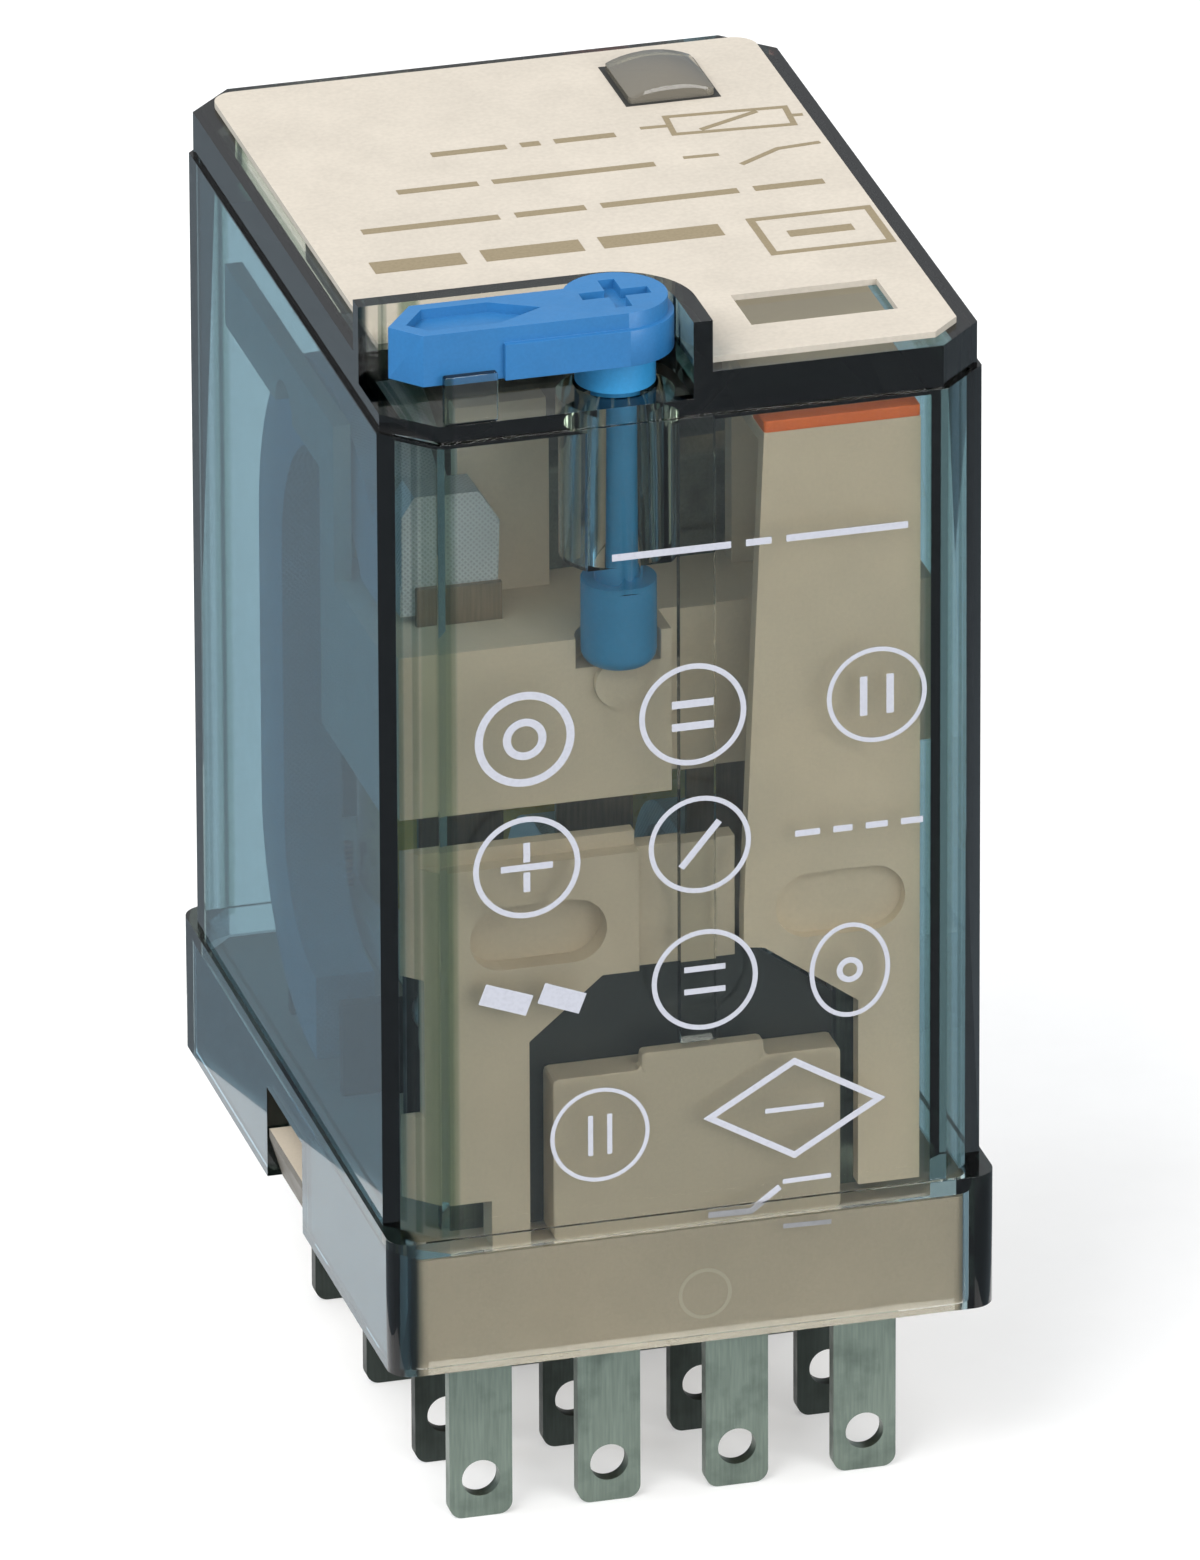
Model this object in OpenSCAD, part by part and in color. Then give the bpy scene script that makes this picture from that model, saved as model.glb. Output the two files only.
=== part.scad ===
// Four pole plug in relay with a clear dust cover, lockable test lever and mechanical flag.
// Millimetres. X to the right along the front, Y to the back, Z up.
// The origin is the centre of the base's underside, so the terminals are below zero.

/* [Cover] */
// Width of the clear cover's body
body_width = 20.4; // [20:0.1:21]
// Depth of the clear cover's body
body_depth = 27.4; // [27.4:0.1:28]
// Height of the shoulder round the top
shoulder_height = 33.2; // [33:0.1:33.6]
// Height of the skirt that covers the base
skirt_height = 4.8; // [4.4:0.1:5.2]
// How far the skirt stands proud of the body
skirt_lip = 0.15; // [0.1:0.05:0.3]
// Chamfer on the body's upright corners
corner_chamfer = 1.6; // [1.6:0.1:2.2]
// Thickness of the cover's walls
wall = 0.9; // [0.7:0.05:0.9]

/* [Test lever] */
// Travel of the lever as a push button
button_travel = 1.1; // [0.8:0.1:1.1]
// Top of the lever at rest
lever_top = 36.9; // [36.7:0.1:37.2]
// Thickness of the lever's arm
arm_thickness = 1.8; // [1.4:0.1:1.8]
// Top of the collar round the lever
collar_top = 36.5; // [36:0.1:36.6]

/* [Terminals] */
// Distance between the four columns of blades
column_pitch = 4.4; // [4.3:0.1:4.4]
// How far the blades reach below the base
blade_reach = 6.85; // [5:0.05:8]
// Width of a blade
blade_width = 2.15; // [1.8:0.05:2.2]
// Thickness of a blade
blade_thickness = 0.5; // [0.4:0.05:0.5]
// Diameter of the eye near a blade's tip
eye_diameter = 1.3; // [1:0.1:1.4]

/* [Hidden] */

$fn = 40;
past = 1;                                  // how far a cut runs past the face it opens
fit_gap = 0.02;                            // gap round a piece that is fixed in another

// Cover
half_width = body_width / 2;
half_depth = body_depth / 2;
cavity_half_width = half_width - wall;
cavity_half_depth = half_depth - wall;
ceiling = shoulder_height - 0.4;
cap_inset = 0.12;
ledge = shoulder_height + 1.5;             // top of the clear cap beside the label
pocket_floor = ledge - 0.9;                // floor of the lever pocket
skirt_wall = 0.75;
skirt_half_width = half_width + skirt_lip;
skirt_half_depth = half_depth + skirt_lip;
skirt_pocket_top = skirt_height - 0.8;
notch_front = -2.2;
notch_back = 2.4;
notch_height = 3.3;

// Label and lens
label_thickness = 0.22;
label_left = -9.3;
label_right = 9.4;
label_front = -12.9;
label_back = 12.8;
label_corner = 0.8;
window_left = 2.8;
window_width = 4.95;
window_front = -10.75;
window_depth = 2.55;
lens_left = 3.9;
lens_width = 2.95;
lens_front = 8.1;
lens_depth = 3.2;
lens_top = ledge + 0.8;

// Test lever and push rod
rod_x = -2.0;
rod_y = -11.45;
collar_inner = 2.05;
collar_outer = 2.7;
head_radius = 1.72;
flange_radius = 1.92;
arm_bottom = lever_top - arm_thickness;
arm_back = -10.65;
arm_front = rod_y - head_radius;
arm_tip = -9.8;
boss_diameter = 2.65;
neck_diameter = 1.62;
bulb_diameter = 2.5;
bulb_bottom = 24.0;
bulb_top = 27.0;
sleeve_bore = 2.8;
sleeve_outer = 3.9;
sleeve_bottom = 27.9;
spigot_diameter = 1.2;
turning_gap = 0.05;

// Base and fixed front mouldings
base_half_width = skirt_half_width - skirt_wall - 0.05;
base_half_depth = skirt_half_depth - skirt_wall - 0.05;
base_top = 3.9;
saddle_top = 5.95;
front_face = -12.6;
barrier_back = -11.5;
barrier_top = 17.6;

// Magnet
coil_y = 5.3;
core_diameter = 4.6;
core_bottom = 6.0;
pole_bottom = 25.92;
pole_top = 26.9;
pole_diameter = 7;
yoke_thickness = 1.0;
yoke_half_width = 5;
yoke_back = 12.3;
yoke_foot_top = 7.5;
yoke_top = 27.3;
flange_bottom = 7.6;
flange_thickness = 1.1;
winding_bottom = 8.75;
winding_top = 24.85;
armature_bottom = 27.5;
armature_top = 28.9;
armature_half_width = 6.2;
leg_back = -4.3;
leg_thickness = 1.4;
leg_bottom = 22.5;
leg_half_width = 4;

// Contact carrier
beam_bottom = 19.1;
beam_top = 24.9;
beam_front = -11.4;
beam_back = -3.4;
beam_half_width = 9.15;
recess_from = -0.2;
recess_front = -9.8;
seat_gap = 0.15;
arm_inner = 8.55;

// Contacts
columns = [-1.5 * column_pitch, -0.5 * column_pitch, 0.5 * column_pitch, 1.5 * column_pitch];
nc_row = -10.7;
no_row = -6.3;
com_row = 0;
coil_row = 6.7;
contact_strip_top = 11.2;
com_strip_top = 7.2;
coil_strip_top = 5.5;
spring_y = -9.0;
spring_thickness = 0.24;
spring_width = 2.6;
spring_bottom = 9.2;
outer_spring_top = 26.2;
inner_spring_top = 21;
contact_diameter = 1.8;
shank_diameter = 0.95;
moving_contact_z = 10.4;
nc_contact_z = 10.3;
no_contact_z = 9.9;
contact_gap = 0.1;
moving_contact_depth = 1.5;
no_contact_front = -7.35;

// Wires from the coil
lead_x = 5.8;
lead_y = coil_row - 0.5;

// Flexible leads
arch_y = -1.2;
arch_z = 21.9;
arch_outer = 8.7;
arch_inner = 5.7;
arch_left = 6.4;
arch_width = 2.0;
foot_y = 0.5;
foot_z = 12;
loop_y = -5.0;
loop_z = 11.4;
loop_outer = 4.0;
loop_inner = 3.2;
loop_width = 1.8;

// Flag
flag_thickness = 0.6;
flag_bottom = 4.6;
flag_top = 32.0;
flag_right = 7.9;
flag_left = 2.6;
tip_depth = 1.4;
tip_height = 0.4;
shelf_back = -8.0;

// Colours
clear_tint = [0.55, 0.68, 0.70, 0.35];
label_white = [0.90, 0.87, 0.82];
moulding = [0.72, 0.68, 0.58];
carrier_beige = [0.78, 0.74, 0.64];
lever_blue = [0.16, 0.50, 0.82];
steel = [0.55, 0.58, 0.57];
plated = [0.62, 0.66, 0.64];
copper = [0.72, 0.42, 0.25];
spring_bronze = [0.66, 0.48, 0.30];
silver = [0.80, 0.80, 0.78];
flag_orange = [0.93, 0.33, 0.14];
bobbin_white = [0.85, 0.84, 0.80];
tape_yellow = [0.80, 0.62, 0.25];
lead_grey = [0.72, 0.76, 0.78];

// ---- shared outlines ----

module chamfered_outline(half_w, half_d, chamfer) {
    polygon([
        [-half_w, -half_d + chamfer],
        [-half_w + chamfer, -half_d],
        [half_w - chamfer, -half_d],
        [half_w, -half_d + chamfer],
        [half_w, half_d - chamfer],
        [half_w - chamfer, half_d],
        [-half_w + chamfer, half_d],
        [-half_w, half_d - chamfer]
    ]);
}

module rounded_outline(half_w, half_d, radius) {
    square([2 * half_w, 2 * (half_d - radius)], center = true);
    square([2 * (half_w - radius), 2 * half_d], center = true);
    for (x = [-half_w + radius, half_w - radius])
        for (y = [-half_d + radius, half_d - radius])
            translate([x, y])
                circle(radius);
}

// A slab standing between two heights, drawn from a plan outline.
module slab(bottom, top) {
    translate([0, 0, bottom])
        linear_extrude(top - bottom)
            children();
}

// A plate upright across the relay: its outline is drawn as X and Z, its faces are at two depths.
module upright(front, back) {
    translate([0, back, 0])
        rotate([90, 0, 0])
            linear_extrude(back - front)
                children();
}

// A plate upright along the relay: its outline is drawn as Y and Z, its faces are at two widths.
module sideways(left, right) {
    translate([left, 0, 0])
        rotate([90, 0, 90])
            linear_extrude(right - left)
                children();
}

// Plan of the lever pocket, open to the front and to the left, round the rod at the given radius.
module pocket_outline(radius) {
    reach = 20;
    translate([rod_x, rod_y])
        circle(radius);
    translate([-reach, rod_y])
        square([reach + rod_x, radius]);
    translate([-reach, -reach])
        square([reach + rod_x + radius, reach + rod_y]);
}

// ---- cover ----

module collar() {
    slab(pocket_floor - 0.3, collar_top)
        intersection() {
            difference() {
                pocket_outline(collar_outer);
                pocket_outline(collar_inner);
            }
            rounded_outline(half_width - cap_inset, half_depth - cap_inset, 0.6);
        }
}

module cover_shell() {
    difference() {
        union() {
            slab(0, skirt_height)
                rounded_outline(skirt_half_width, skirt_half_depth, 0.8);
            slab(0, shoulder_height)
                chamfered_outline(half_width, half_depth, corner_chamfer);
            slab(0, ledge)
                chamfered_outline(half_width - cap_inset, half_depth - cap_inset, corner_chamfer);
        }
        slab(-past, skirt_pocket_top)
            rounded_outline(skirt_half_width - skirt_wall, skirt_half_depth - skirt_wall, 0.6);
        slab(-past, ceiling)
            chamfered_outline(cavity_half_width, cavity_half_depth, corner_chamfer - 0.5);
        slab(pocket_floor, ledge + past)
            pocket_outline(collar_inner);
        for (side = [-1, 1])
            translate([side * skirt_half_width, (notch_front + notch_back) / 2, notch_height / 2 - past / 2])
                cube([2, notch_back - notch_front, notch_height + past], center = true);
    }
}

module cover() {
    rib_left = -0.3;
    rib_width = 1.2;
    rib_bottom = 10.6;
    color(clear_tint)
        difference() {
            union() {
                cover_shell();
                collar();
                translate([rod_x, rod_y, sleeve_bottom])
                    cylinder(h = ceiling - sleeve_bottom + 0.3, d = sleeve_outer);
                translate([rib_left, -cavity_half_depth - 0.1, rib_bottom])
                    cube([rib_width, 0.5, ceiling - rib_bottom + 0.3]);
            }
            translate([rod_x, rod_y, sleeve_bottom - past])
                cylinder(h = pocket_floor - sleeve_bottom + 2 * past, d = sleeve_bore);
        }
}

module label_outline() {
    mid_x = (label_left + label_right) / 2;
    mid_y = (label_front + label_back) / 2;
    difference() {
        translate([mid_x, mid_y])
            rounded_outline((label_right - label_left) / 2, (label_back - label_front) / 2, label_corner);
        polygon([
            [label_right + past, label_front - past],
            [label_right - label_corner - 0.2, label_front - past],
            [label_right - label_corner - 0.2, label_front],
            [label_right, label_front + label_corner + 0.2],
            [label_right + past, label_front + label_corner + 0.2]
        ]);
    }
}

module label_plate() {
    color(label_white)
        slab(ledge, ledge + label_thickness)
            difference() {
                label_outline();
                pocket_outline(collar_outer + fit_gap);
                translate([window_left, window_front])
                    square([window_width, window_depth]);
                translate([lens_left - fit_gap, lens_front - fit_gap])
                    square([lens_width + 2 * fit_gap, lens_depth + 2 * fit_gap]);
            }
}

module indicator_lens() {
    dome_radius = 3.4;
    color(clear_tint)
        intersection() {
            translate([lens_left, lens_front, ledge])
                cube([lens_width, lens_depth, lens_top - ledge]);
            translate([lens_left + lens_width / 2, 0, lens_top - dome_radius])
                rotate([-90, 0, 0])
                    cylinder(h = 20, r = dome_radius, $fn = 72);
        }
}

module latch_pip() {
    pip_left = -8.3;
    pip_width = 1.8;
    color(clear_tint)
        translate([pip_left, -half_depth + cap_inset, pocket_floor])
            cube([pip_width, 0.28, 1.7]);
}

// ---- base ----

module base() {
    lug_top = 1.8;
    lug_front = notch_front + 0.1;
    lug_back = notch_back - 0.1;
    color(moulding)
        difference() {
            union() {
                slab(0, base_top)
                    rounded_outline(base_half_width, base_half_depth, 0.55);
                slab(base_top - 0.5, saddle_top)
                    translate([-4, 2.5])
                        square([8, 9]);
                for (side = [0, 1])
                    mirror([side, 0, 0])
                        translate([0, lug_back, 0])
                            rotate([90, 0, 0])
                                linear_extrude(lug_back - lug_front)
                                    polygon([
                                        [base_half_width - 0.5, 0],
                                        [base_half_width + 0.3, 0],
                                        [skirt_half_width - 0.05, lug_top - 0.3],
                                        [skirt_half_width - 0.05, lug_top],
                                        [base_half_width - 0.5, lug_top]
                                    ]);
            }
            for (x = columns)
                for (y = [nc_row, no_row, com_row])
                    blade_slot(x, y);
            for (x = [columns[0], columns[3]])
                blade_slot(x, coil_row);
        }
}

module blade_slot(x, y) {
    translate([x, y, base_top / 2])
        cube([blade_width + 2 * fit_gap, blade_thickness + 2 * fit_gap, base_top + 2 * past], center = true);
}

// ---- terminals ----

// One flat blade with rounded tip corners and an eye, running up through the base to a strip.
module blade(x, y, top, eye_height) {
    tip_radius = 0.45;
    eye_z = -blade_reach + eye_height;
    translate([x, 0, 0])
        upright(y - blade_thickness / 2, y + blade_thickness / 2)
            difference() {
                union() {
                    translate([-blade_width / 2, -blade_reach + tip_radius])
                        square([blade_width, top + blade_reach - tip_radius]);
                    translate([-blade_width / 2 + tip_radius, -blade_reach])
                        square([blade_width - 2 * tip_radius, tip_radius + 0.1]);
                    for (side = [-1, 1])
                        translate([side * (blade_width / 2 - tip_radius), -blade_reach + tip_radius])
                            circle(tip_radius, $fn = 24);
                }
                translate([0, eye_z])
                    circle(d = eye_diameter, $fn = 32);
            }
}

module nc_terminal(i) {
    color(plated)
        blade(columns[i - 1], nc_row, contact_strip_top, 1.4);
}

module no_terminal(i) {
    color(plated)
        blade(columns[i - 1], no_row, contact_strip_top, 1.7);
}

module com_terminal(i) {
    color(plated)
        blade(columns[i - 1], com_row, com_strip_top, 1.7);
}

module coil_terminal(i) {
    color(plated)
        blade(i == 1 ? columns[0] : columns[3], coil_row, coil_strip_top, 1.7);
}

// ---- contacts ----

module disc(x, front, back, z, diameter) {
    translate([x, back, z])
        rotate([90, 0, 0])
            cylinder(h = back - front, d = diameter, $fn = 28);
}

module nc_contact(i) {
    strip_back = nc_row + blade_thickness / 2;
    face = spring_y - moving_contact_depth / 2 - contact_gap;
    color(silver)
        disc(columns[i - 1], strip_back, face, nc_contact_z, contact_diameter);
}

module no_contact(i) {
    strip_front = no_row - blade_thickness / 2;
    color(silver)
        disc(columns[i - 1], no_contact_front, strip_front, no_contact_z, contact_diameter);
}

module moving_contact(i) {
    face = moving_contact_depth / 2;
    leaf = spring_thickness / 2;
    x = columns[i - 1];
    color(silver) {
        disc(x, spring_y - face, spring_y - leaf, moving_contact_z, contact_diameter);
        disc(x, spring_y + leaf, spring_y + face, moving_contact_z, contact_diameter);
        disc(x, spring_y - face, spring_y + face, moving_contact_z, shank_diameter);
    }
}

module moving_spring(i) {
    top = (i == 1 || i == 4) ? outer_spring_top : inner_spring_top;
    x = columns[i - 1];
    color(spring_bronze)
        translate([x, 0, 0])
            upright(spring_y - spring_thickness / 2, spring_y + spring_thickness / 2)
                difference() {
                    union() {
                        translate([-spring_width / 2, spring_bottom + 0.6])
                            square([spring_width, top - spring_bottom - 0.6]);
                        translate([-spring_width / 2 + 0.6, spring_bottom])
                            square([spring_width - 1.2, 1]);
                        for (side = [-1, 1])
                            translate([side * (spring_width / 2 - 0.6), spring_bottom + 0.6])
                                circle(0.6, $fn = 24);
                    }
                    translate([0, moving_contact_z])
                        circle(d = shank_diameter + 0.04, $fn = 28);
                }
}

// Outer braid: from the top of its spring over in an arch, down beside the coil to the blade.
// Its front end is pressed flat and wide where it is welded to the spring.
module arch_lead(i) {
    left = i == 1 ? -arch_left - arch_width : arch_left;
    front_end = spring_y + spring_thickness / 2 + fit_gap;
    low = beam_top + 0.3;
    color(lead_grey)
        mirror([i == 1 ? 0 : 1, 0, 0])
            upright(front_end, front_end + 1.5)
                polygon([
                    [-8.35, low],
                    [-5.4, low],
                    [-5.3, 28.3],
                    [-6.0, 29.4],
                    [-7.9, 29.4],
                    [-8.35, 28.7]
                ]);
    color(lead_grey)
        sideways(left, left + arch_width) {
            difference() {
                translate([arch_y, arch_z])
                    circle(arch_outer, $fn = 72);
                translate([arch_y, arch_z])
                    circle(arch_inner, $fn = 60);
                translate([arch_y - 10, arch_z - 10])
                    square([20, 10]);
                translate([front_end - 5, arch_z - past])
                    square([5, 12]);
                translate([arch_y - 10, arch_z - past])
                    square([9, low - arch_z + past]);
            }
            translate([arch_y + arch_inner, foot_z])
                square([arch_outer - arch_inner, arch_z - foot_z + 0.01]);
            difference() {
                translate([foot_y, foot_z])
                    circle(arch_y + arch_outer - foot_y, $fn = 60);
                translate([foot_y, foot_z])
                    circle(arch_y + arch_inner - foot_y, $fn = 48);
                translate([foot_y - 10, foot_z])
                    square([20, 10]);
                translate([foot_y - 10, foot_z - 10])
                    square([10, 20]);
            }
        }
}

// Inner braid: a short loop from the back of its spring down to the blade in front of the coil.
module loop_lead(i) {
    x = columns[i - 1];
    start = spring_y + spring_thickness / 2 + fit_gap;
    down = loop_y + loop_inner;
    thick = loop_outer - loop_inner;
    foot = 5.6;
    end = com_row - blade_thickness / 2 - fit_gap;
    color(lead_grey)
        sideways(x - loop_width / 2, x + loop_width / 2) {
            translate([start, loop_z + loop_inner])
                square([loop_y - start + 0.01, thick]);
            difference() {
                translate([loop_y, loop_z])
                    circle(loop_outer, $fn = 48);
                translate([loop_y, loop_z])
                    circle(loop_inner, $fn = 40);
                translate([loop_y - 10, loop_z - 10])
                    square([20, 10]);
                translate([loop_y - 10, loop_z - 10])
                    square([10, 20]);
            }
            translate([down, foot])
                square([thick, loop_z - foot + 0.01]);
            translate([down, foot])
                square([end - down, thick]);
        }
}

// ---- magnet ----

module yoke() {
    color(steel)
        difference() {
            sideways(-yoke_half_width, yoke_half_width)
                union() {
                    translate([1.5, core_bottom])
                        square([yoke_back - 1.5, yoke_foot_top - core_bottom]);
                    translate([yoke_back - yoke_thickness, core_bottom])
                        square([yoke_thickness, yoke_top - core_bottom]);
                }
            translate([0, coil_y, core_bottom - past])
                cylinder(h = 4, d = core_diameter + 2 * fit_gap);
        }
}

module core() {
    color(steel)
        translate([0, coil_y, 0])
            union() {
                translate([0, 0, core_bottom])
                    cylinder(h = pole_top - core_bottom, d = core_diameter);
                translate([0, 0, pole_bottom])
                    cylinder(h = pole_top - pole_bottom, d = pole_diameter);
            }
}

module bobbin() {
    top = pole_bottom - fit_gap;
    color(bobbin_white)
        difference() {
            union() {
                slab(flange_bottom, flange_bottom + flange_thickness)
                    translate([0, coil_y])
                        rounded_outline(6, 5.9, 0.6);
                slab(top - 1, top)
                    translate([0, coil_y])
                        rounded_outline(6, 5.9, 0.6);
                translate([0, coil_y, flange_bottom])
                    cylinder(h = top - flange_bottom, d = core_diameter + 1);
            }
            translate([0, coil_y, flange_bottom - past])
                cylinder(h = top - flange_bottom + 2 * past, d = core_diameter + 2 * fit_gap);
            for (side = [-1, 1])
                translate([side * lead_x, lead_y, flange_bottom])
                    cube([0.8, 0.8, 4], center = true);
        }
}

module coil_winding() {
    color(copper)
        translate([0, coil_y, winding_bottom])
            difference() {
                cylinder(h = winding_top - winding_bottom, d = 10.7);
                translate([0, 0, -past])
                    cylinder(h = 20, d = core_diameter + 1.04);
            }
}

module winding_tape() {
    color(tape_yellow)
        translate([0, coil_y, winding_bottom + 0.05])
            difference() {
                cylinder(h = winding_top - winding_bottom - 0.1, d = 11);
                translate([0, 0, -past])
                    cylinder(h = 20, d = 10.74);
            }
}

module armature() {
    color(steel)
        sideways(-armature_half_width, armature_half_width)
            translate([leg_back, armature_bottom])
                square([yoke_back - leg_back, armature_top - armature_bottom]);
    color(steel)
        sideways(-leg_half_width, leg_half_width)
            polygon([
                [leg_back - leg_thickness, leg_bottom],
                [leg_back, leg_bottom],
                [leg_back, armature_bottom],
                [leg_back + 0.1, armature_top],
                [leg_back - leg_thickness + 0.5, armature_top],
                [leg_back - leg_thickness, armature_top - 0.5]
            ]);
}

module return_spring() {
    leaf = 0.15;
    behind = yoke_back + 0.05;
    over = armature_top + 0.12;
    color(spring_bronze)
        sideways(-2, 2)
            union() {
                translate([behind, 18])
                    square([leaf, over - 18 + leaf]);
                translate([behind - 2.2, over])
                    square([2.2 + leaf, leaf]);
            }
}

module contact_carrier() {
    bulb_notch = bulb_diameter / 2 + 0.2;
    seat = bulb_bottom - seat_gap;
    color(carrier_beige)
        difference() {
            union() {
                slab(beam_bottom, beam_top)
                    polygon([
                        [-beam_half_width, beam_front],
                        [recess_from, beam_front],
                        [recess_from, recess_front],
                        [beam_half_width, recess_front],
                        [beam_half_width, beam_back],
                        [-beam_half_width, beam_back]
                    ]);
                for (side = [0, 1])
                    mirror([side, 0, 0]) {
                        sideways(arm_inner, beam_half_width)
                            carrier_arm();
                        translate([3.1, -6.9, beam_top - 0.5])
                            cube([3.1, 0.8, 6.4]);
                    }
                disc(rod_x, beam_front - 0.25, beam_front + 0.1, seat - 0.6, 1.7);
            }
            slab(seat, beam_top + past)
                union() {
                    translate([rod_x, rod_y])
                        circle(bulb_notch);
                    translate([rod_x - bulb_notch, beam_front - past])
                        square([2 * bulb_notch, rod_y - beam_front + past]);
                }
            translate([-leg_half_width - 0.1, leg_back - leg_thickness - 0.05, leg_bottom - 0.1])
                cube([2 * leg_half_width + 0.2, leg_thickness + 0.1, 5]);
            for (i = [1 : 4])
                spring_slot(i);
        }
}

module spring_slot(i) {
    top = (i == 1 || i == 4) ? beam_top + past : inner_spring_top + 0.05;
    translate([
        columns[i - 1] - spring_width / 2 - fit_gap,
        spring_y - spring_thickness / 2 - fit_gap,
        beam_bottom - past
    ])
        cube([spring_width + 2 * fit_gap, spring_thickness + 2 * fit_gap, top - beam_bottom + past]);
}

// Side arm: up behind the beam and back beside the armature, ending in a downward hook.
module carrier_arm() {
    post_front = -5.2;
    arm_low = 28.3;
    arm_high = 30.5;
    arm_end = 8.8;
    translate([post_front, beam_top - 1])
        square([beam_back - post_front, arm_high - beam_top + 1]);
    difference() {
        translate([beam_back - 0.1, arm_low])
            square([arm_end - beam_back + 0.1, arm_high - arm_low]);
        translate([1.2, arm_low])
            circle(1.1);
    }
}

module coil_lead(i) {
    side = i == 1 ? -1 : 1;
    x = side * lead_x;
    low = 5.2;
    high = 10;
    color(copper)
        union() {
            translate([x, lead_y, low])
                cylinder(h = high - low, d = 0.4, $fn = 20);
            translate([x, lead_y, high])
                sphere(d = 0.4, $fn = 20);
        }
}

module lamp() {
    lamp_x = lens_left + lens_width / 2;
    lamp_y = lens_front + lens_depth / 2;
    color([0.85, 0.35, 0.2])
        translate([lamp_x, lamp_y, 29.7])
            union() {
                cylinder(h = 1.6, d = 2.4);
                translate([0, 0, 1.6])
                    sphere(d = 2.4);
            }
}

module lamp_resistor() {
    resistor_x = 7.9;
    color([0.75, 0.62, 0.42])
        translate([resistor_x, 10.5, 0])
            union() {
                translate([0, 0, 14])
                    cylinder(h = 5, d = 1.8);
                translate([0, 0, 6])
                    cylinder(h = 24.3, d = 0.4, $fn = 20);
                translate([0, 0, 30.1])
                    rotate([0, -90, 0])
                        cylinder(h = 1.15, d = 0.4, $fn = 20);
            }
}

// ---- test lever and push rod ----

module arm_outline() {
    polygon([
        [rod_x, arm_front],
        [-8.9, arm_front],
        [arm_tip, -12.15],
        [-8.7, arm_back],
        [rod_x, arm_back]
    ]);
    translate([rod_x, rod_y])
        circle(head_radius, $fn = 56);
}

module arm_recess_outline() {
    polygon([
        [-8.6, arm_front + 0.4],
        [-9.2, -12.15],
        [-8.4, arm_back - 0.4],
        [-6.2, arm_back - 0.4],
        [-4.6, -11.9],
        [-6.2, arm_front + 0.4]
    ]);
}

module test_lever() {
    flange_top = lever_top - 0.55;
    recess = 0.35;
    bar = 0.55;
    bar_length = 2.3;
    color(lever_blue)
        difference() {
            union() {
                slab(arm_bottom, lever_top)
                    arm_outline();
                slab(arm_bottom, flange_top)
                    union() {
                        translate([rod_x, rod_y])
                            circle(flange_radius, $fn = 56);
                        translate([-6.2, rod_y - flange_radius])
                            square([6.2 + rod_x, 1]);
                    }
            }
            slab(lever_top - recess, lever_top + past)
                arm_recess_outline();
            translate([rod_x, rod_y, lever_top])
                cube([bar, bar_length, 2 * recess], center = true);
            translate([rod_x, rod_y, lever_top])
                cube([bar_length, bar, 2 * recess], center = true);
            translate([rod_x, rod_y, arm_bottom - past])
                cylinder(h = past + 1.05, d = spigot_diameter + 2 * turning_gap);
        }
}

module push_rod() {
    boss_bottom = pocket_floor - button_travel;
    bulb_radius = bulb_diameter / 2;
    color(lever_blue)
        translate([rod_x, rod_y, 0])
            union() {
                translate([0, 0, boss_bottom + 1.2])
                    cylinder(h = arm_bottom - turning_gap - boss_bottom - 1.2, d = boss_diameter);
                translate([0, 0, arm_bottom - turning_gap - 0.5])
                    cylinder(h = 1.5, d = spigot_diameter);
                translate([0, 0, bulb_top - 0.5])
                    cylinder(h = arm_bottom - bulb_top, d = neck_diameter);
                translate([0, 0, bulb_bottom + 0.5])
                    cylinder(h = bulb_top - bulb_bottom - 0.5, d = bulb_diameter);
                translate([0, 0, bulb_bottom])
                    rotate_extrude()
                        union() {
                            square([bulb_radius - 0.5, 0.6]);
                            translate([bulb_radius - 0.5, 0.5])
                                intersection() {
                                    circle(0.5, $fn = 32);
                                    translate([0, -0.5])
                                        square([0.5, 0.55]);
                                }
                        }
            }
}

// ---- front mouldings and flag ----

// A slot with round ends, drawn as an outline.
module oval(left, right, low, high) {
    radius = (high - low) / 2;
    translate([left + radius, low])
        square([right - left - 2 * radius, high - low]);
    for (x = [left + radius, right - radius])
        translate([x, low + radius])
            circle(radius, $fn = 36);
}

module front_barrier() {
    right = -1.65;
    web_right = 1.7;
    color(moulding)
        intersection() {
            slab(0, ceiling)
                chamfered_outline(cavity_half_width - 0.1, cavity_half_depth - 0.2, corner_chamfer - 0.5);
            difference() {
                union() {
                    upright(front_face, barrier_back)
                        polygon([
                            [-9.2, 5.6],
                            [-6.7, 5.6],
                            [-6.7, base_top],
                            [-5.4, base_top],
                            [-5.4, 11.2],
                            [-2.9, 13.3],
                            [right, 13.3],
                            [right, barrier_top],
                            [-9.2, barrier_top]
                        ]);
                    upright(front_face + 0.4, barrier_back)
                        translate([right - 0.1, 13.3])
                            square([web_right - right + 0.1, barrier_top - 13.3]);
                    upright(front_face + 0.6, barrier_back)
                        translate([-9.2, barrier_top - 0.1])
                            square([right + 9.2, 0.6]);
                }
                upright(front_face - past, front_face + 0.8)
                    oval(-7.4, -2.75, 13.9, 16.15);
                upright(front_face - past, barrier_back + past)
                    translate([-9.3, 8.6])
                        square([0.75, 5]);
            }
        }
}

module contact_guard() {
    color(moulding)
        union() {
            upright(front_face, -11.3)
                translate([-4.6, base_top])
                    square([9.8, 5.8]);
            upright(front_face, -12.1)
                translate([-1.6, base_top])
                    square([4.2, 6.4]);
        }
}

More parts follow.
